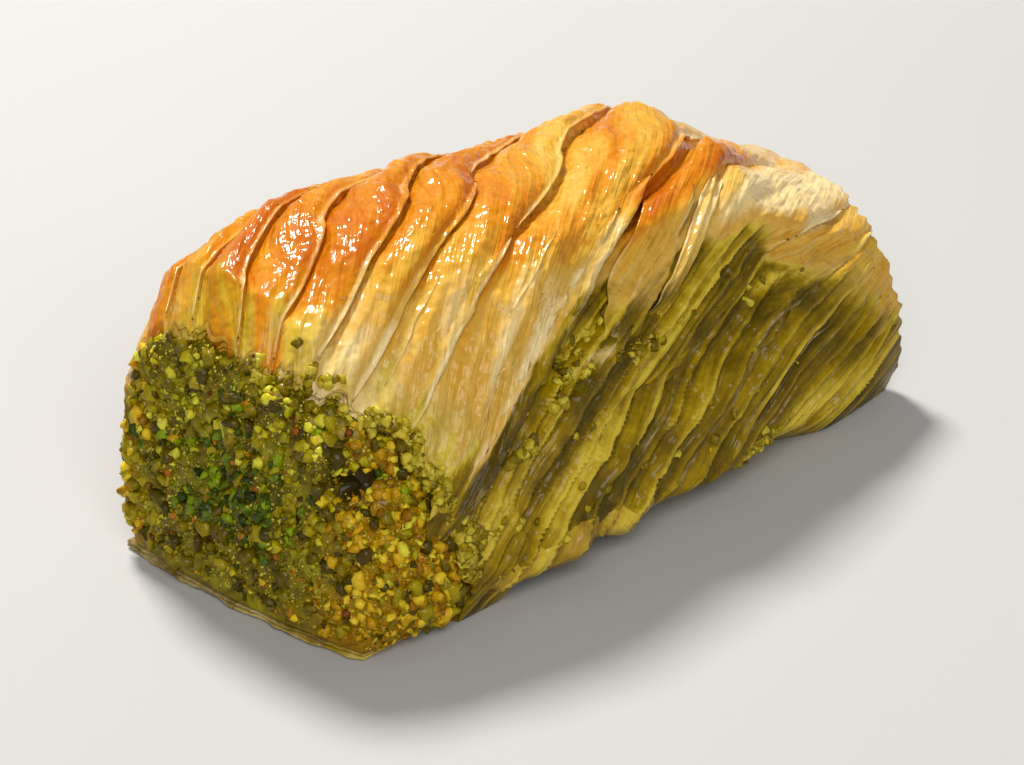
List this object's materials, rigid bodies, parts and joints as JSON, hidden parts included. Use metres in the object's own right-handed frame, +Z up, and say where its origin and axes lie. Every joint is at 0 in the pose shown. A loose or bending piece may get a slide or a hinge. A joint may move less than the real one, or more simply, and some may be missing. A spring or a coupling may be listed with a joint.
{
  "type": "pistachio baklava piece",
  "caption": "Curled baklava piece: twisted, pleated filo wrapped round a coarse green pistachio filling that shows at both cut ends.",
  "frame": {"origin": "centre of the flat base the piece rests on, at the bottom centre of its bounding box", "axes": "+X along the roll, away from the open cut end that the picture shows; -Y towards the long side with the torn flap; +Z up"},
  "size_m": [0.0688, 0.0352, 0.0312],
  "materials": {
    "filo": "golden baked filo with a syrup gloss",
    "filling": "coarse ground pistachio, moist"
  },
  "bodies": {
    "root": {"filo_wrap": "filo", "pistachio_filling": "filling"}
  },
  "joints": []
}
